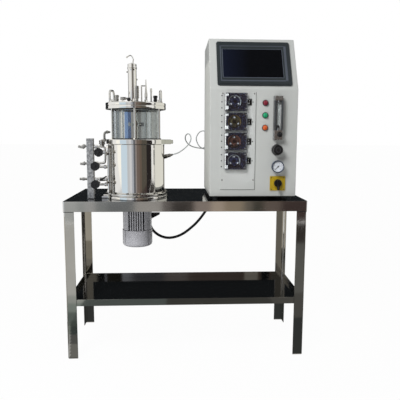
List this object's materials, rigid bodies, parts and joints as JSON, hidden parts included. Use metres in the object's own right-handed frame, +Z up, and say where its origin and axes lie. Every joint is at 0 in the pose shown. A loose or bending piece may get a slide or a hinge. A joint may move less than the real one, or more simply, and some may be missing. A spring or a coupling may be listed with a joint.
{
  "type": "bench bioreactor",
  "caption": "Jacketed stirred vessel with bottom motor drive and valve manifold, beside a control cabinet with sloping screen and peristaltic pumps, on a steel bench with a shelf.",
  "frame": {"origin": "on the floor under the middle of the bench top", "axes": "+Z up, +X to the right along the bench, -Y towards the operator"},
  "size_m": [1, 0.5, 1.3365],
  "materials": {
    "polished_steel": "polished",
    "brushed_steel": "satin",
    "black_laminate": "gloss",
    "clear_glass": "clear",
    "motor_paint": "satin paint",
    "black_plastic": "moulded",
    "cabinet_paint": "fine powder coat",
    "dark_paint": "powder coat",
    "grey_plastic": "moulded",
    "pump_housing": "moulded",
    "rotor_plastic": "moulded",
    "clear_plastic": "clear",
    "gauge_white": "moulded",
    "yellow_plastic": "moulded",
    "cable_rubber": "matt",
    "grey_lead": "satin"
  },
  "bodies": {
    "bench": {"vessel_base_flange": "polished_steel", "jacketed_vessel": "polished_steel", "glass_cylinder": "clear_glass", "lid": "polished_steel", "lid_handle_left": "polished_steel", "lid_handle_right": "polished_steel", "condenser": "polished_steel", "condenser_cap": "polished_steel", "feed_valve": "polished_steel", "temperature_probe": "polished_steel", "air_sparger": "polished_steel", "motor_body": "motor_paint", "motor_fan_cowl": "motor_paint", "motor_terminal_box": "black_plastic", "sensor_fitting": "brushed_steel", "manifold_post": "brushed_steel", "pipe_spool": "polished_steel", "cabinet_shell": "cabinet_paint", "cabinet_base": "dark_paint", "cabinet_back_panel": "cabinet_paint", "touch_panel": "grey_plastic", "pump_panel": "pump_housing", "flow_meter_body": "clear_plastic", "gauge_case": "gauge_white", "switch_plate": "yellow_plastic", "rear_socket": "brushed_steel", "cabinet_cable_gland": "black_plastic", "motor_cable": "cable_rubber", "sensor_lead": "grey_lead", "bench_top_rim": "brushed_steel", "bench_top_plate": "black_laminate", "leg_front_left": "brushed_steel", "leg_front_right": "brushed_steel", "leg_back_left": "brushed_steel", "leg_back_right": "brushed_steel", "shelf_rim": "brushed_steel", "shelf_plate": "black_laminate"},
    "drive": {"agitator": "polished_steel", "motor_fan_shaft": "brushed_steel"},
    "handwheel_upper": {"handwheel_upper": "black_plastic"},
    "handwheel_middle": {"handwheel_middle": "black_plastic"},
    "handwheel_lower": {"handwheel_lower": "black_plastic"},
    "drain_lever": {"drain_lever": "black_plastic"},
    "pump_rotor_1": {"pump_rotor_1": "rotor_plastic"},
    "pump_cover_1": {"pump_cover_1": "clear_plastic"},
    "pump_switch_1": {"pump_switch_1": "black_plastic"},
    "pump_rotor_2": {"pump_rotor_2": "rotor_plastic"},
    "pump_cover_2": {"pump_cover_2": "clear_plastic"},
    "pump_switch_2": {"pump_switch_2": "black_plastic"},
    "pump_rotor_3": {"pump_rotor_3": "rotor_plastic"},
    "pump_cover_3": {"pump_cover_3": "clear_plastic"},
    "pump_switch_3": {"pump_switch_3": "black_plastic"},
    "pump_rotor_4": {"pump_rotor_4": "rotor_plastic"},
    "pump_cover_4": {"pump_cover_4": "clear_plastic"},
    "pump_switch_4": {"pump_switch_4": "black_plastic"},
    "flow_meter_float": {"flow_meter_float": "black_plastic"},
    "flow_meter_knob": {"flow_meter_knob": "black_plastic"},
    "regulator_knob": {"regulator_knob": "black_plastic"},
    "gauge_pointer": {"gauge_pointer": "black_plastic"},
    "main_switch_handle": {"main_switch_handle": "black_plastic"}
  },
  "joints": [
    {"name": "agitator_drive", "type": "hinge", "parent": "bench", "child": "drive", "pos_m": [-0.213, -0.093, 0.667], "axis": [0, 0, 1], "continuous": true},
    {"name": "handwheel_upper_turn", "type": "hinge", "parent": "bench", "child": "handwheel_upper", "pos_m": [-0.358, -0.202, 0.8637], "axis": [0, 1, 0], "range_deg": [-540, 180]},
    {"name": "handwheel_middle_turn", "type": "hinge", "parent": "bench", "child": "handwheel_middle", "pos_m": [-0.3735, -0.202, 0.807], "axis": [0, 1, 0], "range_deg": [-540, 180]},
    {"name": "handwheel_lower_turn", "type": "hinge", "parent": "bench", "child": "handwheel_lower", "pos_m": [-0.3745, -0.202, 0.732], "axis": [0, 1, 0], "range_deg": [-540, 180]},
    {"name": "drain_lever_turn", "type": "hinge", "parent": "bench", "child": "drain_lever", "pos_m": [-0.354, -0.167, 0.75], "axis": [0, 1, 0], "range_deg": [-59, 31]},
    {"name": "pump_rotor_1_spin", "type": "hinge", "parent": "bench", "child": "pump_rotor_1", "pos_m": [0.194, -0.2353, 1.0684], "axis": [0, 1, 0], "continuous": true},
    {"name": "pump_cover_1_hinge", "type": "hinge", "parent": "bench", "child": "pump_cover_1", "pos_m": [0.1555, -0.2356, 1.0684], "axis": [0, 0, -1], "range_deg": [0, 100]},
    {"name": "pump_switch_1_rock", "type": "hinge", "parent": "bench", "child": "pump_switch_1", "pos_m": [0.2545, -0.2193, 1.0684], "axis": [-1, 0, 0], "range_deg": [0, 16]},
    {"name": "pump_rotor_2_spin", "type": "hinge", "parent": "bench", "child": "pump_rotor_2", "pos_m": [0.194, -0.2353, 0.9892], "axis": [0, 1, 0], "continuous": true},
    {"name": "pump_cover_2_hinge", "type": "hinge", "parent": "bench", "child": "pump_cover_2", "pos_m": [0.1555, -0.2356, 0.9892], "axis": [0, 0, -1], "range_deg": [0, 100]},
    {"name": "pump_switch_2_rock", "type": "hinge", "parent": "bench", "child": "pump_switch_2", "pos_m": [0.2545, -0.2193, 0.9892], "axis": [-1, 0, 0], "range_deg": [0, 16]},
    {"name": "pump_rotor_3_spin", "type": "hinge", "parent": "bench", "child": "pump_rotor_3", "pos_m": [0.194, -0.2353, 0.91], "axis": [0, 1, 0], "continuous": true},
    {"name": "pump_cover_3_hinge", "type": "hinge", "parent": "bench", "child": "pump_cover_3", "pos_m": [0.1555, -0.2356, 0.91], "axis": [0, 0, -1], "range_deg": [0, 100]},
    {"name": "pump_switch_3_rock", "type": "hinge", "parent": "bench", "child": "pump_switch_3", "pos_m": [0.2545, -0.2193, 0.91], "axis": [-1, 0, 0], "range_deg": [0, 16]},
    {"name": "pump_rotor_4_spin", "type": "hinge", "parent": "bench", "child": "pump_rotor_4", "pos_m": [0.194, -0.2353, 0.8308], "axis": [0, 1, 0], "continuous": true},
    {"name": "pump_cover_4_hinge", "type": "hinge", "parent": "bench", "child": "pump_cover_4", "pos_m": [0.1555, -0.2356, 0.8308], "axis": [0, 0, -1], "range_deg": [0, 100]},
    {"name": "pump_switch_4_rock", "type": "hinge", "parent": "bench", "child": "pump_switch_4", "pos_m": [0.2545, -0.2193, 0.8308], "axis": [-1, 0, 0], "range_deg": [0, 16]},
    {"name": "flow_meter_float_rise", "type": "slide", "parent": "bench", "child": "flow_meter_float", "axis": [0, 0, 1], "range_m": [0, 0.09]},
    {"name": "flow_meter_knob_turn", "type": "hinge", "parent": "bench", "child": "flow_meter_knob", "pos_m": [0.379, -0.2396, 0.939], "axis": [0, 1, 0], "range_deg": [-540, 180]},
    {"name": "regulator_knob_turn", "type": "hinge", "parent": "bench", "child": "regulator_knob", "pos_m": [0.373, -0.2163, 0.8763], "axis": [0, 1, 0], "range_deg": [-540, 540]},
    {"name": "gauge_pointer_swing", "type": "hinge", "parent": "bench", "child": "gauge_pointer", "pos_m": [0.3745, -0.2393, 0.808], "axis": [0, 1, 0], "range_deg": [0, 270], "stiffness_Nm_per_rad": 0.0002},
    {"name": "main_switch_turn", "type": "hinge", "parent": "bench", "child": "main_switch_handle", "pos_m": [0.3785, -0.2218, 0.739], "axis": [0, 1, 0], "range_deg": [0, 90]}
  ]
}
